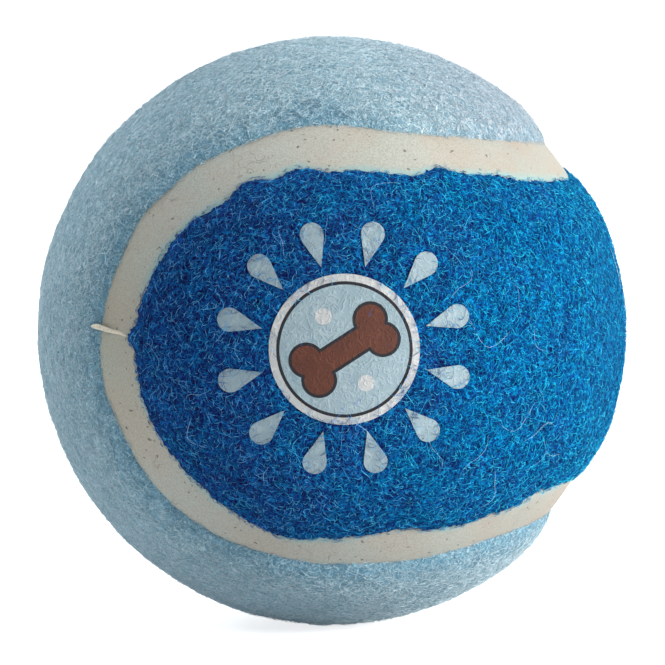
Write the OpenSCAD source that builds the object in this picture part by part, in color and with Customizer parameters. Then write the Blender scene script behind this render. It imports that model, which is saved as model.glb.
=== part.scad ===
// Felt-covered play ball in two colours, with a hollow rubber core.
//
// Frame: the origin is the ball's centre and +Z is up. +X points at the middle of the bright
// panel's narrow waist and -X at the pale panel's. The bright panel's round lobes lie towards
// -Y and +Y, the pale panel's towards +Z and -Z.
//
// The seam follows four circular arcs on the ball. Each arc is drawn about the centre of a
// lobe, and neighbouring arcs meet on the plane through the ball's centre and both of their
// lobe centres. So a panel is made of two lobes, revolved about its own lobe centres, and a
// waist, revolved about the other panel's lobe centres.

/* [Ball] */
// Diameter over the nap of the felt
ball_d = 66; // [50:0.5:80]
// Tilt of each panel's lobes away from its own waist, in degrees
lobe_tilt = 7; // [2:0.5:12]

/* [Core] */
// Wall of the moulded rubber half shells
core_wall = 3.5; // [2:0.1:6]
// Thickness of the cement joint between the half shells
joint_t = 0.3; // [0.2:0.05:1]
// Radius of the bead of cement squeezed out inside the joint
bead_r = 0.6; // [0.4:0.1:1.5]

/* [Cover] */
// Thickness of the cement film that bonds the cover to the core
film_t = 0.2; // [0.1:0.05:0.5]
// Thickness of the felt panels, nap included
felt_t = 2.8; // [2:0.1:4]
// Width over which the nap rolls down at a panel's edge
roll_w = 4; // [2:0.25:6]

/* [Seam] */
// Width of the rubber seam between the panels
seam_w = 5; // [3:0.25:8]
// Depth of the seam's face below the nap
seam_drop = 1.4; // [0.6:0.1:1.8]

/* [Print] */
// Radius of the round badge
badge_r = 8.2; // [6.5:0.1:9]
// Width of the badge's white rim
rim_w = 0.8; // [0.4:0.1:1.2]
// Width of the dark lines
line_w = 0.35; // [0.2:0.05:0.6]
// Width of the bone's shaft
bone_w = 2.4; // [1.5:0.1:3]
// Radius of the bone's knobs
knob_r = 1.6; // [1.2:0.1:1.8]
// Clearance between the bone's outline and the badge's dark line
bone_gap = 0.8; // [0.3:0.1:1.5]
// Radius of the white dots beside the bone
dot_r = 0.9; // [0.5:0.1:1.2]
// Number of drops round the badge
drops = 12; // [6:1:16]
// Radius of a drop's round end
drop_r = 1.3; // [0.6:0.1:1.5]
// Length of a drop, from its tip to the centre of its round end
drop_l = 3.6; // [2.5:0.1:4]
// Gap between the badge's rim and the tips of the drops
drop_gap = 1; // [0.5:0.1:2]
// How far the nap is pressed down under the ink
press = 0.4; // [0.2:0.05:0.8]
// Thickness of the ink
ink_t = 0.12; // [0.05:0.01:0.2]

/* [Hidden] */
$fn = 96;

// Radii of the surfaces, from the nap inwards
nap_r = ball_d / 2;
seam_r = nap_r - seam_drop;
film_r = nap_r - felt_t;
core_r = film_r - film_t;
core_in = core_r - core_wall;

// Overrun of every cut, and an edge longer than the ball for cutting blocks
over = ball_d / 50;
block = 2 * ball_d;

// Angle from a lobe's centre to the middle of the seam round it
seam_a = acos(cos(lobe_tilt) / sqrt(2));
// Angle that half the seam's width takes up
half_seam_a = asin(seam_w / 2 / seam_r);
// Lobes are this much larger than the waist where they join, so that the two never just touch
lap_a = 0.04;
lobe_a = seam_a - half_seam_a + lap_a;
waist_a = seam_a + half_seam_a;
// Angle that the rolled edge takes up, and the radius of its roll, which leaves the nap
// smoothly and ends at the seam's face
roll_a = asin(roll_w / nap_r);
roll_r = (pow(seam_r, 2) + pow(nap_r, 2) - 2 * seam_r * nap_r * cos(roll_a))
         / (2 * (nap_r - seam_r * cos(roll_a)));
// Half the turn that a lobe or a waist makes about its lobe centre, with an overrun, and how
// far the waist's profile reaches past the plane that halves it
half_turn = 90 + atan(sin(lobe_tilt));
turn_over = 3;
waist_reach_a = 100;

// Place of the print: turned from the lobe towards -X, and lifted
print_turn = -3;
print_lift = 1.5;
bone_tilt = 32;
// Place of a knob's centre across the bone, its distance from the badge's centre, and the
// length between the knobs that this leaves
knob_spread_share = 0.8;
knob_y = knob_spread_share * knob_r;
knob_reach = badge_r - rim_w - 2 * line_w - bone_gap - knob_r;
bone_l = 2 * sqrt(pow(knob_reach, 2) - pow(knob_y, 2));
// The dots lie midway between the bone's shaft and the badge's rim
dot_place = (bone_w / 2 + badge_r - rim_w) / 2;

function polar(r, a) = [r * sin(a), r * cos(a)];

// Colours
bright_blue = [0.09, 0.42, 0.72];
pale_blue = [0.62, 0.76, 0.84];
cream = [0.88, 0.86, 0.77];
rubber_grey = [0.25, 0.25, 0.26];
cement_tan = [0.76, 0.68, 0.5];
ink_blue_tone = [0.72, 0.84, 0.93];
ink_brown_tone = [0.42, 0.23, 0.15];

// Layers of the ball

module shell(r_in, r_out) difference() {
    sphere(r_out);
    sphere(r_in);
}

module ring(r_in, r_out) difference() {
    circle(r_out);
    circle(r_in);
}

// A block that fills one side of z = 0
module block_above() translate([-block / 2, -block / 2, 0]) cube(block);
module block_below() mirror([0, 0, 1]) block_above();

// The half shell of the core
module core_half() intersection() {
    shell(core_in, core_r);
    translate([0, 0, joint_t / 2]) block_above();
}

module core_half_upper() color(rubber_grey) core_half();
module core_half_lower() color(rubber_grey) mirror([0, 0, 1]) core_half();

// A washer of cement with a bead squeezed out on its inside
module core_joint_cement() color(cement_tan) rotate_extrude() {
    intersection() {
        ring(core_in, core_r);
        translate([0, -joint_t / 2]) square([core_r, joint_t]);
    }
    intersection() {
        circle(core_in);
        translate([core_in, 0]) circle(bead_r);
    }
}

module cover_cement() color(cement_tan) shell(core_r, film_r);

// Lobe centres and the planes between neighbouring arcs

// Turn +Z onto the bright panel's lobe centre towards +Y, or the pale panel's towards +Z
module about_bright_lobe() rotate([-90, 0, lobe_tilt]) children();
module about_pale_lobe() rotate([0, lobe_tilt, 0]) children();

// Turn the bright panel's frame onto the pale panel's, and back
module swap_panels() rotate(180, [0, 1, 1]) children();

// Turn +Z onto the normal of the plane through the centres of two neighbouring lobes. The
// normal points at the bright waist. y_side and z_side choose the pair of lobes.
module onto_normal(y_side, z_side) {
    n = [cos(lobe_tilt), y_side * sin(lobe_tilt), -z_side * sin(lobe_tilt)];
    rotate([0, acos(n.z / norm(n)), atan2(n.y, n.x)]) children();
}

// What lies on the waist's side of both planes through the bright lobe towards +Y
module past_bright_lobe() intersection() {
    onto_normal(1, 1) block_above();
    onto_normal(1, -1) block_above();
}

// What lies on the lobe's side of both planes through the pale lobe towards +Z
module behind_pale_lobe() intersection() {
    onto_normal(1, 1) block_below();
    onto_normal(-1, 1) block_below();
}

// Felt panels

// Everything between two angles from the vertical axis, as a flat wedge
module wedge(a1, a2) polygon([[0, 0], polar(block, a1), polar(block, (a1 + a2) / 2), polar(block, a2)]);

// Section of the felt from flat_a to edge_a, whose nap rolls down to the seam at edge_a
module felt_section(flat_a, edge_a) {
    roll_start = edge_a + (flat_a < edge_a ? -roll_a : roll_a);
    intersection() {
        ring(film_r, nap_r);
        wedge(min(flat_a, roll_start), max(flat_a, roll_start));
    }
    intersection() {
        ring(film_r, nap_r);
        wedge(min(edge_a, roll_start), max(edge_a, roll_start));
        translate(polar(nap_r - roll_r, roll_start)) circle(roll_r);
    }
}

// The lobe towards +Y, up to the planes where the waist starts
module lobe() difference() {
    about_bright_lobe() rotate_extrude() felt_section(0, lobe_a);
    past_bright_lobe();
}

// The upper half of the waist, whose hollow edge runs round the pale lobe towards +Z
module waist_half() difference() {
    intersection() {
        about_pale_lobe() rotate([0, 0, -half_turn - turn_over])
            rotate_extrude(angle = 2 * (half_turn + turn_over)) felt_section(waist_reach_a, waist_a);
        block_above();
    }
    behind_pale_lobe();
}

module felt_panel() {
    lobe();
    mirror([0, 1, 0]) lobe();
    waist_half();
    mirror([0, 0, 1]) waist_half();
}

// The bright panel's nap is pressed down where the ink lies
module felt_panel_bright() color(bright_blue) difference() {
    felt_panel();
    printed(nap_r - press, nap_r + over) footprint();
}

module felt_panel_pale() color(pale_blue) swap_panels() felt_panel();

// Seam

// Section of the seam, between the edges of the two panels
module seam_section() intersection() {
    ring(film_r, seam_r);
    wedge(lobe_a, waist_a);
}

// The arc of the seam round the bright lobe towards +Y
module seam_arc() difference() {
    about_bright_lobe() rotate_extrude() seam_section();
    past_bright_lobe();
}

module seam_pair() {
    seam_arc();
    mirror([0, 1, 0]) seam_arc();
}

module seam() color(cream) {
    seam_pair();
    swap_panels() seam_pair();
}

// Print

// Lays a flat shape on the front of the ball, between two radii
module printed(r_in, r_out) intersection() {
    shell(r_in, r_out);
    rotate([90 - print_lift, 0, print_turn]) linear_extrude(nap_r + over) children();
}

// The bone, or with grow the outline round it
module bone(grow = 0) rotate(bone_tilt) {
    square([bone_l, bone_w + 2 * grow], center = true);
    for (x = [-1, 1], y = [-1, 1])
        translate([x * bone_l / 2, y * knob_y]) circle(knob_r + grow);
}

module dots() rotate(bone_tilt) for (y = [-1, 1])
    translate([0, y * dot_place]) circle(dot_r);

// One drop, with its tip towards the badge
module drop() {
    tip_a = asin(drop_r / drop_l);
    touch = drop_l * cos(tip_a);
    translate([drop_l, 0]) circle(drop_r);
    polygon([[0, 0], touch * [cos(tip_a), -sin(tip_a)], [drop_l, 0], touch * [cos(tip_a), sin(tip_a)]]);
}

module drop_ring() for (i = [0 : drops - 1])
    rotate((i + 0.5) * 360 / drops) translate([badge_r + drop_gap, 0]) drop();

// All that is printed, as one outline
module footprint() {
    circle(badge_r);
    drop_ring();
}

module inked(tone) color(tone) printed(nap_r - press, nap_r - press + ink_t) children();

module ink_white() inked("white") {
    ring(badge_r - rim_w, badge_r);
    dots();
}

module ink_pale_blue() inked(ink_blue_tone) {
    difference() {
        circle(badge_r - rim_w - line_w);
        bone(line_w);
        dots();
    }
    drop_ring();
}

module ink_brown() inked(ink_brown_tone) bone();

module ink_black() inked("black") {
    ring(badge_r - rim_w - line_w, badge_r - rim_w);
    difference() {
        bone(line_w);
        bone();
    }
}

core_half_upper();
core_half_lower();
core_joint_cement();
cover_cement();
felt_panel_bright();
felt_panel_pale();
seam();
ink_white();
ink_pale_blue();
ink_brown();
ink_black();
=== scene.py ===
# %% [markdown]
# A tennis ball, dressed for its photograph
#
# The real ball is a hollow rubber core with two felt panels cemented round it. Each panel is
# cut like a figure of eight, and the two lock into each other with a rubber seam between
# them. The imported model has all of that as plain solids. This lesson keeps the solids as the
# frame and gives the felt, the seam and the ink the looks of the real thing.

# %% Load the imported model
import math

import bmesh
import bpy
from mathutils import Matrix, Vector


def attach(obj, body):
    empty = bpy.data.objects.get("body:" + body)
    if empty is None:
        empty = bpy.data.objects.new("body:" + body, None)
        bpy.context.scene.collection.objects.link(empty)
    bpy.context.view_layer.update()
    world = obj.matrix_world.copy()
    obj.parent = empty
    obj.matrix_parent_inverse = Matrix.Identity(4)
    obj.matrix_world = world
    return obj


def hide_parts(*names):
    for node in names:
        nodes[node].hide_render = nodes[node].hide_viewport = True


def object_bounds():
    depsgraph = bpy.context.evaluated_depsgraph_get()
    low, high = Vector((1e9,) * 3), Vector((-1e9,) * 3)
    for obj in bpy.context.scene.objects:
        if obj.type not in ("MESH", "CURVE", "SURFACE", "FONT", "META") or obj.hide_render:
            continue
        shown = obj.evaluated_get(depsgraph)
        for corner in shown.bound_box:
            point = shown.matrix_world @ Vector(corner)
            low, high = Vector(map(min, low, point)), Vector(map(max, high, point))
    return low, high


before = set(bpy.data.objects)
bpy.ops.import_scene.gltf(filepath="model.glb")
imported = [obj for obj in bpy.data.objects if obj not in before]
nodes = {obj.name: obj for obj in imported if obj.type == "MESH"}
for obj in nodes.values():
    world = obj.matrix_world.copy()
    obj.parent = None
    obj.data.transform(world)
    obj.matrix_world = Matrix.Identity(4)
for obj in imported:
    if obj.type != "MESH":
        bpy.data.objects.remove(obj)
cad_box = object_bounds()
MM = 0.001
print("nodes:", ", ".join(sorted(nodes)))

# %% [markdown]
# The camera
#
# The photograph was taken from a little to the left of the print and a little above it. A
# long lens from a metre away shows nearly half of the ball, as the photograph does. The
# camera's three axes are worked out from its azimuth, elevation and tilt, and go into its
# matrix as they are.

# %% Place the camera
AZIMUTH = math.radians(-5.417)
ELEVATION = math.radians(5.256)
TILT = math.radians(-0.646)
CAMERA_AWAY = 1.0
FOCAL_PIXELS = 8947
FRAME_PIXELS = 665

towards = Vector((
    math.sin(AZIMUTH) * math.cos(ELEVATION),
    -math.cos(AZIMUTH) * math.cos(ELEVATION),
    math.sin(ELEVATION),
))
level = Vector((math.cos(AZIMUTH), math.sin(AZIMUTH), 0))
rightward = math.cos(TILT) * level + math.sin(TILT) * towards.cross(level)
lens = bpy.data.cameras.new("camera")
lens.sensor_width = 36
lens.lens = FOCAL_PIXELS / FRAME_PIXELS * lens.sensor_width
lens.shift_x = 0.001
lens.shift_y = -0.0033
lens.clip_start = 0.05
camera = bpy.data.objects.new("camera", lens)
camera.matrix_world = Matrix.Translation(towards * CAMERA_AWAY) @ Matrix(
    (rightward, towards.cross(rightward), towards)
).transposed().to_4x4()
bpy.context.scene.collection.objects.link(camera)
bpy.context.scene.camera = camera
bpy.context.scene.view_settings.view_transform = "Standard"
print("camera lens", round(lens.lens, 1), "mm")

# %% [markdown]
# Node trees from plain expressions
#
# Materials and Geometry Nodes both hold maths. One small class wraps a node's output, so that
# Python's own operators add the Math nodes, and one method adds any other node. A distance
# rule then reads like a line of school maths, and the same line serves a mesh and a material.


# %% Wrap a node's output
class Value:
    def __init__(self, maker, socket):
        self.maker = maker
        self.socket = socket

    def out(self, name):
        outputs = self.socket.node.outputs
        return Value(self.maker, next(s for s in outputs if s.enabled and s.name == name))

    def maths(self, operation, *others):
        return self.maker.node("ShaderNodeMath", {"operation": operation}, self, *others)

    def __add__(self, other):
        return self.maths("ADD", other)

    def __sub__(self, other):
        return self.maths("SUBTRACT", other)

    def __rsub__(self, other):
        return self.maker.node("ShaderNodeMath", {"operation": "SUBTRACT"}, other, self)

    def __mul__(self, other):
        return self.maths("MULTIPLY", other)

    def __truediv__(self, other):
        return self.maths("DIVIDE", other)

    def __pow__(self, other):
        return self.maths("POWER", other)

    def __gt__(self, other):
        return self.maths("GREATER_THAN", other)

    def __lt__(self, other):
        return self.maths("LESS_THAN", other)

    def __abs__(self):
        return self.maths("ABSOLUTE")

    __radd__ = __add__
    __rmul__ = __mul__

    def least(self, other):
        return self.maths("MINIMUM", other)

    def most(self, other):
        return self.maths("MAXIMUM", other)

    def rise(self, low, high):
        """0 up to low, 1 from high, and a smooth rise between them."""
        soft = {"interpolation_type": "SMOOTHSTEP"}
        return self.maker.node("ShaderNodeMapRange", soft, self, low, high)

    def near(self, middle, reach):
        """1 at middle, and 0 from reach away."""
        return 1 - abs(self - middle).rise(0, reach)


# %% Add any other node
class Maker:
    def __init__(self, tree):
        self.tree = tree

    def node(self, kind, settings, *values, **named):
        node = self.tree.nodes.new(kind)
        for key, value in settings.items():
            if key == "stops":
                self.fill_ramp(node.color_ramp, value)
            elif key == "points":
                self.fill_curve(node.mapping, value)
            else:
                setattr(node, key, value)
        inputs = [s for s in node.inputs if s.enabled]
        for socket, value in zip(inputs, values):
            self.put(socket, value)
        for name, value in named.items():
            self.put(next(s for s in inputs if s.name == name.replace("_", " ")), value)
        outputs = [s for s in node.outputs if s.enabled]
        return Value(self, outputs[0]) if outputs else node

    def put(self, socket, value):
        if isinstance(value, Value):
            self.tree.links.new(value.socket, socket)
        elif value is not None:
            socket.default_value = value

    def fill_ramp(self, ramp, stops):
        while len(ramp.elements) > 1:
            ramp.elements.remove(ramp.elements[-1])
        ramp.elements[0].position, ramp.elements[0].color = stops[0]
        for place, colour in stops[1:]:
            ramp.elements.new(place).color = colour

    def fill_curve(self, mapping, points):
        curve = mapping.curves[0]
        curve.points[0].location = points[0]
        curve.points[1].location = points[-1]
        for point in points[1:-1]:
            curve.points.new(*point)
        mapping.update()

    def vector(self, operation, *values, **named):
        return self.node("ShaderNodeVectorMath", {"operation": operation}, *values, **named)

    def dot(self, one, other):
        return self.vector("DOT_PRODUCT", one, other)

    def join(self, *values):
        return self.node("ShaderNodeCombineXYZ", {}, *values)

    def split(self, vector):
        x = self.node("ShaderNodeSeparateXYZ", {}, vector)
        return x, x.out("Y"), x.out("Z")

    def noise(self, place, scale, detail=0.0, distortion=0.0):
        return self.node("ShaderNodeTexNoise", {}, place, scale, detail, Distortion=distortion)

    def mix(self, share, one, other, blend="MIX"):
        colours = {"data_type": "RGBA", "blend_type": blend}
        return self.node("ShaderNodeMix", colours, share, one, other)


# %% [markdown]
# The light and the floor
#
# The photograph's big lamp hangs low on the right: the left of the bright felt is four times
# darker than the right, and the top is hardly lighter than the bottom. Weaker lamps on the
# left and behind keep the far side from going black. The ground is white: the floor and the
# world show as white to the camera, and give the ball a little light from below.

# %% Hang the lamps
LAMP_WIDE = 0.4
LAMP_AWAY = 0.9


def hang_lamp(name, azimuth, elevation, watts, colour=(1, 1, 1)):
    """A round soft lamp, at angles from the ball's front and its level, aimed at the ball."""
    turn, lift = math.radians(azimuth), math.radians(elevation)
    aim = Vector((
        math.sin(turn) * math.cos(lift), -math.cos(turn) * math.cos(lift), math.sin(lift)
    ))
    lamp = bpy.data.lights.new(name, "AREA")
    lamp.shape = "DISK"
    lamp.size = LAMP_WIDE
    lamp.energy = watts
    lamp.color = colour
    holder = bpy.data.objects.new(name, lamp)
    holder.location = aim * LAMP_AWAY
    holder.rotation_euler = aim.to_track_quat("Z", "Y").to_euler()
    bpy.context.scene.collection.objects.link(holder)
    print(name, "at", [round(value, 2) for value in holder.location])


COOL = (0.95, 1.0, 1.02)
WARM = (1.03, 0.985, 0.93)
hang_lamp("key_lamp", 60, 15, 11.0, WARM)
hang_lamp("front_lamp", 40, 20, 3.0)
hang_lamp("side_lamp", 100, 10, 3.8, WARM)
hang_lamp("left_lamp", -90, 40, 3.0, COOL)
hang_lamp("high_lamp", -150, 60, 6.7, COOL)
hang_lamp("back_lamp", -150, 20, 2.3, COOL)


# %% A white that only the camera and mirrors see
def seen_directly(maker):
    path = maker.node("ShaderNodeLightPath", {})
    seen = path.out("Is Camera Ray") + path.out("Is Glossy Ray") + path.out("Is Transmission Ray")
    return seen.least(1)


world = bpy.data.worlds.new("studio")
world.use_nodes = True
world.node_tree.nodes.clear()
maker = Maker(world.node_tree)
white = maker.node("ShaderNodeBackground", {}, (1, 1, 1, 1), 1.0)
grey = maker.node("ShaderNodeBackground", {}, (0.93, 0.96, 1, 1), 0.02)
shown = maker.node("ShaderNodeMixShader", {}, seen_directly(maker), grey, white)
maker.node("ShaderNodeOutputWorld", {}, shown)
bpy.context.scene.world = world

# %% Lay the floor
FLOOR_WHITE = 0.77
FLOOR_BOUNCE = 0.15
floor_finish = bpy.data.materials.new("floor")
floor_finish.use_nodes = True
floor_finish.node_tree.nodes.clear()
maker = Maker(floor_finish.node_tree)
paint = maker.node("ShaderNodeBsdfDiffuse", {}, (0.75, 0.75, 0.75, 1))
away = maker.vector("LENGTH", maker.node("ShaderNodeTexCoord", {}).out("Object"))
white = FLOOR_WHITE + away.rise(0.1, 0.7) * (1 - FLOOR_WHITE)
bounce = FLOOR_BOUNCE + seen_directly(maker) * (white - FLOOR_BOUNCE)
colour = maker.mix(seen_directly(maker), (0.88, 1, 1.1, 1), (1, 1, 1, 1))
glow = maker.node("ShaderNodeEmission", {}, colour, bounce)
both = maker.node("ShaderNodeAddShader", {}, paint, glow)
maker.node("ShaderNodeOutputMaterial", {}, both)
bpy.ops.mesh.primitive_plane_add(size=6, location=(0, 0, cad_box[0][2]))
floor = bpy.context.object
floor.name = "floor"
floor.data.materials.append(floor_finish)
print("floor at", round(cad_box[0][2] / MM, 2), "mm")

# %% [markdown]
# The rule that every piece follows
#
# The seam runs along four arcs, each drawn about the centre of a lobe, as in the packed
# model. A point's distance from the seam's middle is then the angle to the nearer centre,
# less the angle of the arc. The real panels were cut and laid by hand, so the two edges of
# the seam wander. Float Curves hold that wander on the front, and noise makes it up behind.

# %% Sizes of the cover
NAP_R = 33.0 * MM
SEAM_R = 31.6 * MM
FILM_R = 30.2 * MM
LOBE_TILT = math.radians(7)
SEAM_ANGLE = math.acos(math.cos(LOBE_TILT) / math.sqrt(2))
# Round the front of the ball, in degrees from +X over +Z: where the pale and the bright
# panel's edges lie, in millimetres from the seam's middle line
SEAM_EDGES = [
    (-180, -3.6, 2.2), (-172, -3.5, 2.4), (-160, -2.7, 2.3), (-150, -2.6, 2.8), (-136, -2.5, 3.0),
    (-122, -1.9, 2.3), (-108, -1.4, 2.1), (-100, -1.8, 2.4), (-92, -2.0, 2.3), (-84, -2.5, 2.4),
    (-76, -3.1, 2.6), (-66, -2.9, 1.5), (-54, -2.1, 1.75), (-44, -1.5, 2.6), (-36, -1.4, 3.8),
    (0, -2.2, 2.4), (38, -1.8, 2.9), (48, -2.5, 2.5), (57, -2.6, 2.4), (62, -2.7, 1.7),
    (67, -2.7, 2.6), (73, -2.6, 3.3), (86, -2.8, 3.3), (96, -2.7, 3.9), (106, -2.5, 3.1),
    (114, -2.3, 3.6), (122, -2.4, 2.8), (130, -2.7, 3.7), (138, -2.8, 3.1), (146, -3.4, 2.7),
    (158, -3.0, 2.4), (164, -3.2, 2.1), (170, -3.3, 1.9), (174, -3.3, 1.3), (176.3, -3.4, 0.75),
    (178, -3.5, 1.6), (180, -3.6, 2.2),
]
EDGE_RANGE = 5.0
PALE, BRIGHT = 1, 2
# Behind, an edge lies this far from the middle line and wanders by this much, in millimetres
EDGE_BEHIND = 2.3
WANDER_BEHIND = 2.4
WANDER_SCALE = 3.2
# Strands lean out over the seam, so each mat ends a little behind the edge that shows
LEAN = {PALE: -0.12, BRIGHT: 0.2}


# %% Where a point lies from the seam
def seam_distance(maker, place):
    """Millimetres from the seam's middle line, above zero on the bright panel."""
    x, y, z = maker.split(place)
    cos, sin = math.cos(LOBE_TILT), math.sin(LOBE_TILT)
    on_waist = (x * cos + (abs(y) - abs(z)) * sin) > 0
    from_pale = (x * sin + abs(z) * cos).maths("ARCCOSINE") - SEAM_ANGLE
    from_bright = SEAM_ANGLE - (abs(y) * cos - x * sin).maths("ARCCOSINE")
    return (from_bright + (from_pale - from_bright) * on_waist) * (NAP_R / MM)


def seam_edge(maker, place, panel):
    """Where a panel's edge lies, on the scale of seam_distance."""
    x, y, z = maker.split(place)
    turn = z.maths("ARCTAN2", x) / math.tau + 0.5
    points = [(row[0] / 360 + 0.5, row[panel] / EDGE_RANGE / 2 + 0.5) for row in SEAM_EDGES]
    laid = maker.node("ShaderNodeFloatCurve", {"points": points}, 1.0, turn)
    laid = (laid - 0.5) * (2 * EDGE_RANGE) + LEAN[panel]
    middle = EDGE_BEHIND if panel == BRIGHT else -EDGE_BEHIND
    behind = (maker.noise(place, WANDER_SCALE + panel) - 0.5) * WANDER_BEHIND + middle
    return behind + (laid - behind) * y.rise(0.05, -0.2)


# %% [markdown]
# The print's place
#
# The badge and its drops are pressed into the nap, so the felt lies lower there and no
# strands stand up. A distance rule for a circle and one for a drop, folded round the badge,
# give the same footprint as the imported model.

# %% Distance from the print
BADGE_R = 8.2
DROPS = 12
DROP_R = 1.3
DROP_L = 3.6
DROP_GAP = 1.0
print_turn = math.radians(-3)
print_lift = math.radians(1.5)
PRINT_ACROSS = Vector((math.cos(print_turn), math.sin(print_turn), 0))
PRINT_OUT = Vector((
    math.sin(print_turn) * math.cos(print_lift),
    -math.cos(print_turn) * math.cos(print_lift),
    math.sin(print_lift),
))
PRINT_UP = PRINT_OUT.cross(PRINT_ACROSS)
FAR_MM = 50


def print_distance(maker, place):
    """Millimetres outside the print, for a point's direction from the ball's centre."""
    across = maker.dot(place, PRINT_ACROSS) * (NAP_R / MM)
    up = maker.dot(place, PRINT_UP) * (NAP_R / MM)
    away = (across * across + up * up).maths("SQRT")
    step = math.tau / DROPS
    turn = (up.maths("ARCTAN2", across) + math.tau).maths("MODULO", step) - step / 2
    along = away * turn.maths("COSINE") - (BADGE_R + DROP_GAP)
    beside = abs(away * turn.maths("SINE"))
    past = along - DROP_L
    bulb = (past * past + beside * beside).maths("SQRT") - DROP_R
    slope = math.asin(DROP_R / DROP_L)
    flank = beside * math.cos(slope) - along * math.sin(slope)
    reach = along * math.cos(slope) + beside * math.sin(slope) - DROP_L * math.cos(slope)
    drop = bulb.least(flank.most(reach))
    behind = (maker.dot(place, PRINT_OUT) < 0.2) * FAR_MM
    return drop.least(away - BADGE_R) + behind


# %% [markdown]
# How high the felt stands
#
# The mat is the dense part of the felt, under the loose strands. It is not quite even, rolls
# down over its last millimetres and ends in a short cut beside the seam. The photograph's
# outline shows that roll where the seam goes over the edge of the ball. One rule gives the
# mat's radius, so that its mesh and the strands on it agree everywhere.

# %% Height of the felt
MAT_R = 32.7 * MM
PRESSED_R = 32.45 * MM
INK_R = 32.76 * MM
# How wide and deep the roll is, and the softer bend at its very edge
ROLL_W = {PALE: 6.5, BRIGHT: 8.0}
ROLL_DEPTH = 0.9
LAST_W = 1.6
LAST_DEPTH = 0.18
CUT_SLOPE = 4
# Noises as scale, detail and height in millimetres: the ragged cut, and the lumps on top
RAGS = [(10, 1.0, 0.8), (30, 2.0, 1.0), (85, 1.0, 0.5)]
RAGGED = {PALE: 0.45, BRIGHT: 1.0}
LUMPS = [(4, 1.0, 0.3), (18, 1.0, 0.1)]


def uneven(maker, place, noises):
    """Noises added up, about zero."""
    total = 0
    for scale, detail, height in noises:
        total = (maker.noise(place, scale, detail) - 0.5) * height + total
    return total


def felt_surface(maker, place, panel):
    """The mat's radius, and how many millimetres a point is inside the panel's edge."""
    away = seam_distance(maker, place)
    edge = seam_edge(maker, place, panel)
    ragged = uneven(maker, place, RAGS) * RAGGED[panel]
    inside = (away - edge if panel == BRIGHT else edge - away) + ragged
    roll = (1 - (inside / ROLL_W[panel]).most(0).least(1)) ** 2 * ROLL_DEPTH
    roll = roll + (1 - inside.rise(0, LAST_W)) ** 2 * LAST_DEPTH
    cut = (0 - inside).most(0) * CUT_SLOPE
    height = MAT_R + (uneven(maker, place, LUMPS) - roll - cut) * MM
    if panel == BRIGHT:
        free = print_distance(maker, place).rise(-0.1, 0.5)
        height = PRESSED_R + (height - PRESSED_R) * free
    return height, inside


# %% [markdown]
# The tone of the felt, with painted shade and haze
#
# Felt isn't one even colour: both panels drift slowly in tone, and the bright one has patches.
# Painted shade makes the bright panel a deeper navy on its left half, away from the key lamp.
# The pale panel is darker and bluer along the seam. Towards the right both have a painted
# haze of light, which looks smoother. One value, the tone, goes from 0 for the painted haze
# over 0.5 for fresh to 1 for deep. The mats and the strands both keep it.


# %% Tone, with painted shade and haze
# Noises as scale, detail and strength: slow drifts in both panels, patches in the bright one
DRIFT = [(5.0, 1.0, 0.9)]
PATCHES = [(11.0, 1.0, 1.1)]


def tone_with_painted_light(maker, place, inside, panel):
    across, _, up = maker.split(place)
    drift = uneven(maker, place, DRIFT)
    if panel == BRIGHT:
        # Painted shade deepens the bright panel towards its left; drift and patches are its own
        deep = across.rise(0.9, -0.7) + drift + uneven(maker, place, PATCHES)
        # Painted haze of light, with less red, at the bright panel's far right
        painted_haze = across.rise(0.7, 0.95) * 0.8
    else:
        deep = 1 - inside.rise(0.0, 5.0) + drift
        # Painted haze, duller and smoother, on the pale panel's upper right
        painted_haze = across.rise(-0.1, 0.6) * up.rise(0.1, 0.7)
    return (deep.most(0).least(1) * (1 - painted_haze) - painted_haze) * 0.5 + 0.5


# %% [markdown]
# A ball mesh to start from
#
# Each panel's mat and the seam are closed shells. They start as an icosphere, which has no
# poles. Only the band along the seam is divided further, because the shape changes quickest
# there, and the rest is hidden under strands.


# %% Make the ball mesh
def plain_seam_distance(edge):
    x, y, z = (edge.verts[0].co + edge.verts[1].co).normalized()
    cos, sin = math.cos(LOBE_TILT), math.sin(LOBE_TILT)
    if x * cos + (abs(y) - abs(z)) * sin > 0:
        angle = math.acos(min(1, x * sin + abs(z) * cos)) - SEAM_ANGLE
    else:
        angle = SEAM_ANGLE - math.acos(min(1, abs(y) * cos - x * sin))
    return abs(angle) * NAP_R / MM


BALL_LEVELS = 6
FINER_WITHIN = (6.5, 5.0)
ball = bmesh.new()
bmesh.ops.create_icosphere(ball, subdivisions=BALL_LEVELS, radius=NAP_R)
for reach in FINER_WITHIN:
    band = [edge for edge in ball.edges if plain_seam_distance(edge) < reach]
    bmesh.ops.subdivide_edges(ball, edges=band, cuts=1, use_grid_fill=True)
    bmesh.ops.triangulate(ball, faces=[f for f in ball.faces if len(f.verts) > 3])
ball_mesh = bpy.data.meshes.new("ball")
ball.to_mesh(ball_mesh)
ball.free()
print("ball mesh of", len(ball_mesh.polygons), "faces")

# %% [markdown]
# Geometry Nodes: a tree that is built, used once and turned into a mesh
#
# Each tree has named inputs for its sizes. The modifier gets them by the socket's identifier
# before it first runs. The result is copied out as a plain mesh and the modifier is dropped,
# so nothing is left to be worked out again.

# %% Build and apply a tree
SOCKETS = {
    float: "NodeSocketFloat", int: "NodeSocketInt", bpy.types.Material: "NodeSocketMaterial"
}


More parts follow.
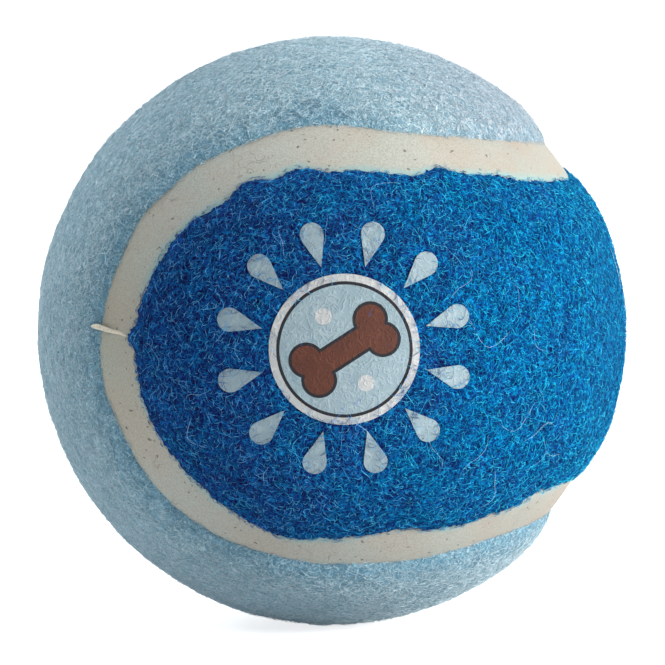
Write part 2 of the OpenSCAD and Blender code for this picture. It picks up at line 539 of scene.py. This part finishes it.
class GeometryMaker(Maker):
    def __init__(self, name, **inputs):
        super().__init__(bpy.data.node_groups.new(name, "GeometryNodeTree"))
        sockets = self.tree.interface
        sockets.new_socket("Geometry", in_out="INPUT", socket_type="NodeSocketGeometry")
        sockets.new_socket("Geometry", in_out="OUTPUT", socket_type="NodeSocketGeometry")
        self.values = {}
        for key, value in inputs.items():
            title = key.replace("_", " ")
            made = sockets.new_socket(title, in_out="INPUT", socket_type=SOCKETS[type(value)])
            self.values[made.identifier] = value
        self.start = self.tree.nodes.new("NodeGroupInput")

    def input(self, name):
        return Value(self, next(s for s in self.start.outputs if s.name == name))

    def position(self):
        return self.node("GeometryNodeInputPosition", {})

    def stored(self, geometry, name, value, kind="FLOAT", domain="POINT"):
        settings = {"data_type": kind, "domain": domain}
        return self.node("GeometryNodeStoreNamedAttribute", settings, geometry, None, name, value)

    def named(self, name, kind="FLOAT"):
        return self.node("GeometryNodeInputNamedAttribute", {"data_type": kind}, name)

    def result(self, geometry):
        smooth = self.node("GeometryNodeSetShadeSmooth", {}, geometry)
        real = self.node("GeometryNodeRealizeInstances", {}, smooth)
        dressed = self.node("GeometryNodeSetMaterial", {}, real, None, self.input("Finish"))
        end = self.tree.nodes.new("NodeGroupOutput")
        self.put(end.inputs[0], dressed)

    def grow(self, name, mesh):
        """A new piece from this tree, with the modifier already turned into its mesh."""
        piece = bpy.data.objects.new(name, mesh)
        bpy.context.scene.collection.objects.link(piece)
        modifier = piece.modifiers.new(self.tree.name, "NODES")
        modifier.node_group = self.tree
        for identifier, value in self.values.items():
            modifier[identifier] = value
        graph = bpy.context.evaluated_depsgraph_get()
        made = bpy.data.meshes.new_from_object(
            piece.evaluated_get(graph), preserve_all_data_layers=True, depsgraph=graph
        )
        piece.modifiers.clear()
        piece.data = made
        made.name = name
        made.calc_loop_triangles()
        print(name, len(made.loop_triangles), "triangles")
        return piece


# %% Close a patch of the ball into a shell
def shell(maker, outer_r, inner_r):
    """The ball at outer_r, closed by a copy at inner_r, without the faces where they meet."""
    proud = outer_r > inner_r * 1.0001
    whole = maker.stored(maker.input("Geometry"), "proud", proud)
    sunk = maker.named("proud") < 0.01
    patch = maker.node("GeometryNodeDeleteGeometry", {"domain": "FACE"}, whole, sunk)
    place = maker.vector("NORMALIZE", maker.position())
    raised = maker.vector("SCALE", place, Scale=inner_r + (outer_r - inner_r) * proud)
    lowered = maker.vector("SCALE", place, Scale=inner_r)
    top = maker.node("GeometryNodeSetPosition", {}, patch, None, raised)
    bottom = maker.node("GeometryNodeSetPosition", {}, patch, None, lowered)
    bottom = maker.node("GeometryNodeFlipFaces", {}, bottom)
    joined = maker.node("GeometryNodeJoinGeometry", {}, top)
    maker.tree.links.new(bottom.socket, joined.socket.node.inputs[0])
    merged = maker.node("GeometryNodeMergeByDistance", {}, joined, None, 0.001 * MM)
    return maker.node("GeometryNodeRemoveAttribute", {}, merged, "proud")


# %% The mat of a panel
def make_mat(name, panel, finish):
    maker = GeometryMaker(name, Inner_radius=FILM_R, Finish=finish)
    place = maker.vector("NORMALIZE", maker.position())
    height, inside = felt_surface(maker, place, panel)
    inner = maker.input("Inner radius")
    closed = shell(maker, height, inner)
    closed = maker.stored(closed, "tone", tone_with_painted_light(maker, place, inside, panel))
    maker.result(maker.stored(closed, "inside", inside))
    return maker.grow(name, ball_mesh)


# %% The seam
# It goes on this far under the mats' edges and then dips, by so much in each millimetre
SEAM_TUCK = 0.75
SEAM_DIP = 6
SEAM_SWELL = [(5, 1.0, 0.25)]


def make_seam(name, finish):
    maker = GeometryMaker(name, Inner_radius=FILM_R, Face_radius=SEAM_R, Finish=finish)
    place = maker.vector("NORMALIZE", maker.position())
    away = seam_distance(maker, place)
    past_bright = away - seam_edge(maker, place, BRIGHT)
    past_pale = seam_edge(maker, place, PALE) - away
    beyond = past_bright.most(past_pale)
    inner = maker.input("Inner radius")
    dip = (beyond - SEAM_TUCK).most(0) * (SEAM_DIP * MM)
    swell = uneven(maker, place, SEAM_SWELL) * MM
    closed = shell(maker, maker.input("Face radius") + swell - dip, inner)
    closed = maker.stored(closed, "past_pale", past_pale)
    maker.result(maker.stored(closed, "past_bright", past_bright))
    return maker.grow(name, ball_mesh)


# %% [markdown]
# The nap
#
# Under a lens the felt is a mat of curled strands, less than a tenth of a millimetre thick
# and mostly under two millimetres long. They lie in all directions, with dark gaps between
# them. Thin meshes give the fringe at the seam and the depth of the pile, which a bump can't.
# Each strand starts as a straight line on the mat. The tree bends it sideways, lays it back
# on the felt's own height rule and sweeps a three-sided section along it. The bending is a
# wave and an arch, so most strands need no more than two to five points.

# %% Scatter strands
# How much a clump of strands differs in shade from the next
PATCH = {PALE: 0.1, BRIGHT: 0.14}
# How much the strands differ in shade, under the painted haze, on fresh felt and on deep felt
CONTRAST = {PALE: (0.25, 0.45, 1.4), BRIGHT: (0.45, 1.0, 1.1)}
# Millimetres: how far out strands start past the mat's edge, and how far off the print
START_PAST = 0.12
KEEP_OFF = 0.12
CLUMP_SCALE = 22.0
FLOW_SCALE = 7.0
FLOW_TURNS = 2.5
# How long strands are at the panel's edge, as a share of their length elsewhere
EDGE_LENGTH_SHARE = 0.55


def scatter_strands(maker, panel, tint, spread):
    """Points on the mat that carry their strand's direction, bends, shade and tone."""
    place = maker.vector("NORMALIZE", maker.position())
    height = maker.vector("LENGTH", maker.position())
    _, inside = felt_surface(maker, place, panel)
    free = (inside > -START_PAST) * (height > SEAM_R - 0.4 * MM)
    if panel == BRIGHT:
        free = free * (print_distance(maker, place) > KEEP_OFF)
    seed = maker.input("Seed")
    points = maker.node(
        "GeometryNodeDistributePointsOnFaces", {}, maker.input("Geometry"), free,
        maker.input("Strands per m2"), seed,
    )
    out = points.out("Normal")

    def chance(low, high, step):
        return maker.node("FunctionNodeRandomValue", {}, low, high, None, seed + step)

    luck = maker.join(chance(-1, 1, 11), chance(0, 1, 12), chance(0, 1, 13))
    clump = (maker.noise(place, CLUMP_SCALE, 2.0) - 0.5) * PATCH[panel]
    flow = maker.noise(place, FLOW_SCALE, 1.0) * (FLOW_TURNS * math.tau)
    flow = flow + chance(-spread, spread, 15)
    length = chance(maker.input("Shortest"), maker.input("Longest"), 16)
    length = length * (EDGE_LENGTH_SHARE + inside.rise(0, 1.5) * (1 - EDGE_LENGTH_SHARE))
    tone = tone_with_painted_light(maker, place, inside, panel)
    painted_haze_contrast, fresh, deep = CONTRAST[panel]
    contrast = tone.rise(0, 0.5) * (fresh - painted_haze_contrast) + tone.rise(0.5, 1) * (deep - fresh) + painted_haze_contrast
    shade = (chance(tint[0], tint[1], 14) + clump - 0.5) * contrast + 0.5
    shade = (shade - (1 - inside.rise(0, 2)) * 0.1).most(0.02).least(0.98)
    points = maker.stored(points, "out", out, "FLOAT_VECTOR")
    points = maker.stored(points, "luck", luck, "FLOAT_VECTOR")
    points = maker.stored(points, "shade", shade)
    points = maker.stored(points, "tone", tone)
    points = maker.stored(points, "flow", flow)
    return maker.stored(points, "length", length)


# %% Bend the lines over the felt
# A strand waves by this share of its curl, and keeps this share of its lift all along
WAVE_SHARE = 0.3
BASE_LIFT_SHARE = 0.1
ARCH_MEAN = 0.67
# Millimetres from the print's border, within which a strand lies on top of the ink
OVER_INK = 0.1


def lay_lines(maker, points, panel, count, curl):
    straight = maker.node("GeometryNodeCurvePrimitiveLine", {}, (-0.5, 0, 0), (0.5, 0, 0))
    straight = maker.node("GeometryNodeResampleCurve", {}, straight, None, count)
    out = maker.named("out", "FLOAT_VECTOR")
    spin = maker.node("FunctionNodeAxisAngleToRotation", {}, (0, 0, 1), maker.named("flow"))
    facing = maker.node("FunctionNodeAlignRotationToVector", {"axis": "Z"}, None, None, out)
    facing = maker.node("FunctionNodeRotateRotation", {"rotation_space": "LOCAL"}, facing, spin)
    size = maker.join(maker.named("length"), 1, 1)
    lines = maker.node(
        "GeometryNodeInstanceOnPoints", {}, points, None, straight, None, None, facing, size
    )
    lines = maker.node("GeometryNodeRealizeInstances", {}, lines)
    bow, wave, rise = maker.split(maker.named("luck", "FLOAT_VECTOR"))
    along = maker.node("GeometryNodeSplineParameter", {})
    arch = along * (1 - along) * 4
    sideways = maker.vector("CROSS_PRODUCT", out, maker.node("GeometryNodeInputTangent", {}))
    sway = ((along + wave) * math.tau).maths("SINE") * WAVE_SHARE
    sway = sway + (arch - ARCH_MEAN) * bow
    moved = maker.vector("SCALE", sideways, Scale=sway * maker.named("length") * curl)
    moved = maker.vector("NORMALIZE", maker.vector("ADD", maker.position(), moved))
    under, _ = felt_surface(maker, moved, panel)
    if panel == BRIGHT:
        under = under.most((print_distance(maker, moved) < OVER_INK) * INK_R)
    above = maker.input("Lift") * (arch * rise + BASE_LIFT_SHARE)
    laid = maker.vector("SCALE", moved, Scale=under.most(SEAM_R) + above)
    lines = maker.node("GeometryNodeSetPosition", {}, lines, None, laid)
    return maker.stored(lines, "along", along), arch


# %% Sweep a section along them
# How much of the chart's width a strand takes, and how many rows of tone the chart has
CHART_W = 0.02
TONE_ROWS = 12
ROW_MARGIN = 0.1
# How thick a strand is at its ends, as a share of its middle
END_SHARE = 0.25


def sweep(maker, lines, arch):
    """Tubes with their own chart: shade across, and a row for each tone, along going up."""
    section = maker.node("GeometryNodeCurvePrimitiveCircle", {}, 3, 1.0)
    section = maker.stored(section, "around", maker.node("GeometryNodeSplineParameter", {}))
    width = maker.input("Thickness") * (arch ** 0.5 * (1 - END_SHARE) + END_SHARE) * 0.5
    tubes = maker.node("GeometryNodeCurveToMesh", {}, lines, section, width, True)
    across = maker.named("shade") + (maker.named("around") - 0.33) * CHART_W
    row = (maker.named("tone") * (TONE_ROWS - 0.01)).maths("FLOOR")
    upwards = row + maker.named("along") * (1 - 2 * ROW_MARGIN) + ROW_MARGIN
    upwards = upwards / TONE_ROWS
    tubes = maker.stored(tubes, "OFBake", maker.join(across, upwards, 0), "FLOAT2", "CORNER")
    for key in ("out", "luck", "flow", "length", "around"):
        tubes = maker.node("GeometryNodeRemoveAttribute", {}, tubes, key)
    return tubes


def make_nap(name, mat, panel, finish, seed, per_mm2, long, thick=0.058, lift=0.2, points=3,
             spread=3.1, curl=0.28, tint=(0.0, 0.9)):
    maker = GeometryMaker(
        name, Strands_per_m2=per_mm2 * 1e6, Shortest=long[0] * MM, Longest=long[1] * MM,
        Thickness=thick * MM, Lift=lift * MM, Seed=seed, Finish=finish,
    )
    scattered = scatter_strands(maker, panel, tint, spread)
    lines, arch = lay_lines(maker, scattered, panel, points, curl)
    maker.result(sweep(maker, lines, arch))
    return maker.grow(name, mat.data)


# %% [markdown]
# Finishes for the felt
#
# A strand takes its colour from its own shade, and painted shade darkens its two ends, where
# it goes into the mat. The felt of the bright panel is so deeply dyed that it gives back almost
# no red, so its gloss is turned low: a plain gloss would lay a grey veil over it.

# %% Start a finish
def new_finish(name, **constants):
    finish = bpy.data.materials.new(name)
    finish.use_nodes = True
    finish.node_tree.nodes.clear()
    maker = Maker(finish.node_tree)
    surface = maker.node("ShaderNodeBsdfPrincipled", {}, **constants)
    maker.node("ShaderNodeOutputMaterial", {}, surface)
    maker.surface = surface.socket.node
    return finish, maker


def paint_with(maker, colour, roughness=None, normal=None):
    maker.put(maker.surface.inputs["Base Color"], colour)
    maker.put(maker.surface.inputs["Roughness"], roughness)
    maker.put(maker.surface.inputs["Normal"], normal)


# %% Strands
def kept(maker, name):
    """A value that the mesh keeps at each point."""
    return maker.node("ShaderNodeAttribute", {"attribute_name": name}).out("Fac")


def toned(maker, colour, tints):
    """The colour as the felt's tone changes it: tints are for painted haze, fresh and deep felt."""
    stops = [(0.0, tints[0]), (0.5, tints[1]), (1.0, tints[2])]
    tint = maker.node("ShaderNodeValToRGB", {"stops": stops}, kept(maker, "tone"))
    return maker.mix(1.0, colour, tint, "MULTIPLY")


def strand_finish(name, stops, root, tints, **constants):
    """Stops run from the darkest strand to the lightest; root is painted shade at its two ends."""
    finish, maker = new_finish(name, Roughness=0.55, **constants)
    colour = maker.node("ShaderNodeValToRGB", {"stops": stops}, kept(maker, "shade"))
    # Painted shade: a strand darkens towards its two ends, where it dips into the mat
    end = abs(kept(maker, "along") - 0.5).rise(0.25, 0.5) * 0.6
    colour = maker.mix(end, colour, root)
    paint_with(maker, toned(maker, colour, tints))
    return finish


# %% Mats
def contours(maker, place, scale, width):
    """Thin curved lines, where a noise passes through its middle, that come and go."""
    line = maker.noise(place, scale, 0.0, 0.6).near(0.5, width)
    return line * maker.noise(place, scale * 0.7 + 100).rise(0.3, 0.6)


def mat_finish(name, deep, middle, light, tints, edge, **constants):
    """Three colours from the gaps up to the felt's top, and the painted shade on its cut edge."""
    finish, maker = new_finish(name, Roughness=0.9, **constants)
    place = maker.node("ShaderNodeTexCoord", {}).out("Object")
    low = contours(maker, place, 1250, 0.08)
    high = contours(maker, place, 1900, 0.08)
    top = contours(maker, place, 2800, 0.09)
    patch = maker.noise(place, 650, 1.0).rise(0.3, 0.65)
    colour = maker.mix(patch * 0.3, deep, middle)
    colour = maker.mix(low, colour, middle)
    colour = maker.mix(high.most(top) * (0.7 + patch * 0.3), colour, light)
    # Painted shade darkens the mat towards its cut edge beside the seam
    colour = maker.mix((1 - kept(maker, "inside").rise(-0.1, 0.4)) * edge, colour, deep)
    colour = toned(maker, colour, tints)
    pile = low * 0.5 + high * 0.8 + top
    bump = maker.node("ShaderNodeBump", {}, 0.8, 0.1 * MM, Height=pile)
    paint_with(maker, colour, None, bump)
    return finish


# %% The felt's colours
# What multiplies a colour under the painted haze, on fresh felt and on deep felt, which on
# the bright panel is partly painted shade
BRIGHT_TINTS = (0.7, 1, 1, 1), (0.2, 0.87, 1, 1), (1, 0.53, 0.84, 1)
PALE_TINTS = (0.9, 0.83, 0.85, 1), (1, 1, 1, 1), (0.66, 0.81, 0.88, 1)
HAIR_TINTS = (0.95, 0.97, 1, 1), (1, 1, 1, 1), (0.9, 0.95, 1, 1)
# Each mat's last number is how much painted shade darkens its cut edge
bright_mat = mat_finish(
    "bright_mat", (0.007, 0.009, 0.068, 1), (0.007, 0.095, 0.3, 1), (0.007, 0.34, 0.62, 1),
    BRIGHT_TINTS, 0.7, Specular_IOR_Level=0.03,
)
pale_mat = mat_finish(
    "pale_mat", (0.12, 0.25, 0.33, 1), (0.34, 0.5, 0.58, 1), (0.59, 0.72, 0.78, 1),
    PALE_TINTS, 0.35, Specular_IOR_Level=0.2,
)
bright_strands = strand_finish("bright_strands", [
    (0.0, (0.007, 0.007, 0.057, 1)), (0.35, (0.007, 0.04, 0.185, 1)),
    (0.6, (0.007, 0.19, 0.44, 1)), (0.8, (0.016, 0.425, 0.68, 1)), (1.0, (0.16, 0.86, 0.97, 1)),
], (0.007, 0.031, 0.145, 1), BRIGHT_TINTS, Specular_IOR_Level=0.03, Sheen_Weight=0.25,
    Sheen_Roughness=0.45, Sheen_Tint=(0.0, 0.6, 0.78, 1))
pale_strands = strand_finish("pale_strands", [
    (0.0, (0.07, 0.22, 0.32, 1)), (0.35, (0.34, 0.5, 0.58, 1)), (0.7, (0.54, 0.66, 0.72, 1)),
    (1.0, (0.84, 0.89, 0.92, 1)),
], (0.33, 0.49, 0.57, 1), PALE_TINTS, Specular_IOR_Level=0.2, Sheen_Weight=0.2,
    Sheen_Roughness=0.4, Sheen_Tint=(1, 0.92, 0.92, 1))
hair_strands = strand_finish("stray_hairs", [
    (0.0, (0.25, 0.52, 0.72, 1)), (1.0, (0.5, 0.74, 0.88, 1)),
], (0.3, 0.5, 0.7, 1), HAIR_TINTS, Specular_IOR_Level=0.2)

# %% [markdown]
# Finishes for the rubber, the ink and the cement
#
# The seam is matt cream rubber with a fine grain, a few dark specks and hairline cracks.
# Some dye from the bright felt has crept into one edge, and a painted shadow darkens the other,
# along the pale felt. Painted shade makes the rubber yellower on the left and darker on the
# right, and the tail of flash is a lighter cream. The ink is thin paint on felt: the strands
# under it show as ridges, and where it has worn the felt's colour comes through.

# %% The seam's rubber
seam_finish, maker = new_finish("seam_rubber", Specular_IOR_Level=0.2)
place = maker.node("ShaderNodeTexCoord", {}).out("Object")
blotch = maker.noise(place, 150, 3.0)
rubber = maker.mix(blotch.rise(0.35, 0.65), (0.39, 0.37, 0.33, 1), (0.375, 0.395, 0.365, 1))
across, _, _ = maker.split(place)
# Painted shade: the rubber is yellower and darker towards the left
painted_shade_left = (across / NAP_R).rise(-0.55, -0.85)
rubber = maker.mix(painted_shade_left, rubber, (0.96, 0.93, 0.86, 1), "MULTIPLY")
# Painted shade: the rubber is darker towards the right
painted_shade_right = (across / NAP_R).rise(0.15, 0.7)
rubber = maker.mix(painted_shade_right, rubber, (0.83, 0.81, 0.81, 1), "MULTIPLY")
grain = maker.noise(place, 5200, 1.0)
rubber = maker.mix(grain.rise(0.35, 0.7) * 0.5, rubber, (0.26, 0.24, 0.19, 1))
crack = maker.noise(place, 420, 1.0).near(0.5, 0.012)
crack = crack * maker.noise(place, 250).rise(0.6, 0.68)
speck = maker.noise(place, 1900).rise(0.79, 0.82)
rubber = maker.mix((speck * 0.7).most(crack * 0.35), rubber, (0.07, 0.055, 0.045, 1))
fray = (maker.noise(place, 900, 2.0) - 0.5) * 0.9
stain = (kept(maker, "past_bright") + fray).rise(-1.2, 0.0)
stain = stain * (0.15 + maker.noise(place, 140, 1.0).rise(0.4, 0.6) * 0.55)
rubber = maker.mix(stain, rubber, (0.22, 0.39, 0.4, 1))
# Painted shadow: a thin dark line on the rubber along the pale felt's edge
pale_edge_shadow = (kept(maker, "past_pale") + fray * 0.4).rise(-0.3, 0.1) * 0.2
rubber = maker.mix(pale_edge_shadow, rubber, (0.18, 0.26, 0.28, 1))
bump = maker.node("ShaderNodeBump", {}, 0.4, 0.04 * MM, Height=grain - crack - speck)
paint_with(maker, rubber, 0.75, bump)

# %% The tail's rubber
flash_finish, maker = new_finish("flash_rubber", Specular_IOR_Level=0.3)
grain = maker.noise(maker.node("ShaderNodeTexCoord", {}).out("Object"), 3500, 1.0)
cream = maker.mix(grain.rise(0.35, 0.7) * 0.5, (0.66, 0.6, 0.49, 1), (0.42, 0.38, 0.3, 1))
paint_with(maker, cream, 0.6, maker.node("ShaderNodeBump", {}, 0.5, 0.05 * MM, Height=grain))


# %% Inks
# The felt's own colour, where the ink has worn off
DYE = (0.01, 0.12, 0.36, 1)


def ink_finish(name, ink, streak, wear):
    """Paint of one colour that lies thinner between the strands' ridges, and is worn."""
    finish, maker = new_finish(name, Specular_IOR_Level=0.25)
    place = maker.node("ShaderNodeTexCoord", {}).out("Object")
    ridges = contours(maker, place, 1250, 0.12).most(contours(maker, place, 2100, 0.12))
    thin = maker.noise(place, 420, 3.0)
    colour = maker.mix(thin.rise(0.42, 0.7) * 0.5, ink, streak)
    colour = maker.mix((1 - ridges) * 0.5, colour, streak)
    worn = maker.noise(place, 1500, 2.0).rise(0.68 - wear * 0.1, 0.74) * wear
    colour = maker.mix(worn, colour, DYE)
    bump = maker.node("ShaderNodeBump", {}, 0.8, 0.06 * MM, Height=ridges)
    paint_with(maker, colour, 0.7, bump)
    return finish


# Each ink's own colour, its colour where it lies thin, and how worn it is
INKS = {
    "white": ((0.48, 0.49, 0.495, 1), (0.34, 0.365, 0.38, 1), 0.35),
    "pale_blue": ((0.28, 0.365, 0.41, 1), (0.19, 0.275, 0.32, 1), 0.35),
    "brown": ((0.095, 0.03, 0.018, 1), (0.06, 0.02, 0.013, 1), 0.2),
    "black": ((0.006, 0.006, 0.009, 1), (0.01, 0.012, 0.018, 1), 0.1),
}
inks = {f"ink_{word}": ink_finish(f"{word}_ink", *look) for word, look in INKS.items()}
print("inks:", ", ".join(INKS))


# %% Core and cement
def moulded_finish(name, one, other, roughness, scale):
    """Two blotchy tones with small pits."""
    finish, maker = new_finish(name, Specular_IOR_Level=0.35)
    place = maker.node("ShaderNodeTexCoord", {}).out("Object")
    colour = maker.mix(maker.noise(place, scale, 3.0).rise(0.3, 0.7), one, other)
    pits = maker.noise(place, scale * 12, 1.0)
    bump = maker.node("ShaderNodeBump", {}, 0.4, 0.08 * MM, Height=pits)
    paint_with(maker, colour, roughness + (pits - 0.5) * 0.2, bump)
    return finish


rubber = moulded_finish("moulded_rubber", (0.03, 0.03, 0.032, 1), (0.06, 0.058, 0.055, 1), 0.7, 90)
cement = moulded_finish("dried_cement", (0.5, 0.44, 0.3, 1), (0.6, 0.55, 0.42, 1), 0.45, 150)
for name, finish in {
    "core_half_upper": rubber, "core_half_lower": rubber, "core_joint_cement": cement,
    "cover_cement": cement, **inks,
}.items():
    for held in nodes[name].material_slots:
        held.material = finish
    print(name, "wears", finish.name)

# %% [markdown]
# Grow the cover
#
# The two mats and the seam are the shells that take the place of the plain solids. The nap
# is scattered over the mats, so they come first.

# %% Grow the mats and the seam
bright_panel = make_mat("felt_bright_mat", BRIGHT, bright_mat)
pale_panel = make_mat("felt_pale_mat", PALE, pale_mat)
seam_strip = make_seam("seam_strip", seam_finish)

# %% [markdown]
# A tail of flash
#
# Where the two ends of the seam strip meet, a thin tail of rubber is left lying across the
# seam and over the edge of the pale felt. It is a tapered ridge, so it is a loft: a row of
# flat rings along a line that comes down from the felt to the seam, closed at both ends.

# %% Make the tail
TAIL_FROM = Vector((-28.66, -16.11, 2.51)).normalized()
TAIL_TO = Vector((-24.69, -20.31, 1.58)).normalized()
# Millimetres: how far it climbs onto the felt, and how it bends sideways and wriggles
TAIL_CLIMB = 0.75
TAIL_BEND = 0.2
TAIL_WRIGGLE = 0.07
TAIL_TAPER = 0.66


def make_tail(name, finish, steps=24, sides=8, width=0.75, height=0.36):
    tail = bmesh.new()
    across = TAIL_FROM.cross(TAIL_TO).normalized()
    rings = []
    for step in range(steps + 1):
        along = step / steps
        out = TAIL_FROM.slerp(TAIL_TO, along)
        slope = 0.5 + 0.5 * math.cos(math.pi * min(1, along * 1.25))
        base = SEAM_R - 0.1 * MM + slope * TAIL_CLIMB * MM
        full = min(1, 0.12 + along * 5) * (1 - TAIL_TAPER * along)
        bend = TAIL_BEND * math.sin(math.pi * along) + TAIL_WRIGGLE * math.sin(9 * along)
        ring = []
        for side in range(sides):
            turn = math.tau * side / sides
            wide = (math.cos(turn) * width / 2 * full + bend) * MM
            high = (math.sin(turn) + 0.3) * height * full * MM
            ring.append(tail.verts.new(out * (base + high) + across * wide))
        rings.append(ring)
    for one, other in zip(rings, rings[1:]):
        for side in range(sides):
            after = (side + 1) % sides
            tail.faces.new((one[side], one[after], other[after], other[side]))
    tail.faces.new(rings[0])
    tail.faces.new(rings[-1][::-1])
    bmesh.ops.recalc_face_normals(tail, faces=tail.faces)
    mesh = bpy.data.meshes.new(name)
    tail.to_mesh(mesh)
    tail.free()
    mesh.shade_smooth()
    mesh.materials.append(finish)
    piece = bpy.data.objects.new(name, mesh)
    bpy.context.scene.collection.objects.link(piece)
    return piece


seam_tail = make_tail("seam_tail", flash_finish)
print("tail of", len(seam_tail.data.polygons), "faces")

# %% [markdown]
# Layers of nap
#
# The felt is built up from below: short straight strands fill the mat, then come curls, a
# thin scatter of light loops and some long strands that follow the nap's flow. A few stray
# hairs stand off the ball. Sizes are in millimetres, and tint is the range of a layer's
# shades. The counts come close to the two million triangles that the whole ball may have.

# %% Grow the nap
LAYERS = {
    "straight": dict(pieces=1, per_mm2=3.2, long=(0.3, 0.9), points=2, lift=0.1, tint=(0, 0.55)),
    "short": dict(pieces=2, per_mm2=1.5, long=(0.5, 1.3), tint=(0.1, 0.75)),
    "curly": dict(pieces=1, per_mm2=1.3, long=(0.8, 1.8), points=4, curl=0.33, tint=(0.15, 0.85)),
    "glint": dict(pieces=1, per_mm2=2.3, long=(0.35, 1.1), lift=0.32, thick=0.052, curl=0.4,
                  tint=(0.8, 1.2)),
    "long": dict(pieces=1, per_mm2=0.45, long=(1.4, 3.2), points=5, lift=0.3, thick=0.052,
                 spread=0.9, curl=0.16, tint=(0.4, 0.95)),
}
HAIRS = dict(per_mm2=0.007, long=(2.5, 6.0), points=9, thick=0.036, lift=0.3, curl=0.3)
nap = {BRIGHT: [], PALE: []}
for panel, word, mat, finish in (
    (BRIGHT, "bright", bright_panel, bright_strands), (PALE, "pale", pale_panel, pale_strands),
):
    for key, layer in LAYERS.items():
        settings = {k: v for k, v in layer.items() if k != "pieces"}
        for number in range(layer["pieces"]):
            nap[panel].append(make_nap(
                f"{word}_nap_{key}_{number + 1}", mat, panel, finish,
                seed=100 * panel + 10 * len(nap[panel]), **settings,
            ))
    nap[panel].append(make_nap(f"{word}_stray_hairs", mat, panel, hair_strands, 7 + panel, **HAIRS))

# %% [markdown]
# Tell the frame what each piece is
# Attach every piece to the ball's body
# Every piece rides on the ball's one body. The two mats and the seam take the place of their
# plain solids, which are hidden. Each panel is felt that was cut flat and stretched round the
# core.

for piece, slot in (
    (bright_panel, "felt_bright"), (pale_panel, "felt_pale"),
    (seam_strip, "seam_rubber"), (seam_tail, "seam_rubber"),
    *((piece, "felt_bright") for piece in nap[BRIGHT]),
    *((piece, "felt_pale") for piece in nap[PALE]),
):
    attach(piece, "root")
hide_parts("felt_panel_bright")
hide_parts("felt_panel_pale")
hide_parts("seam")
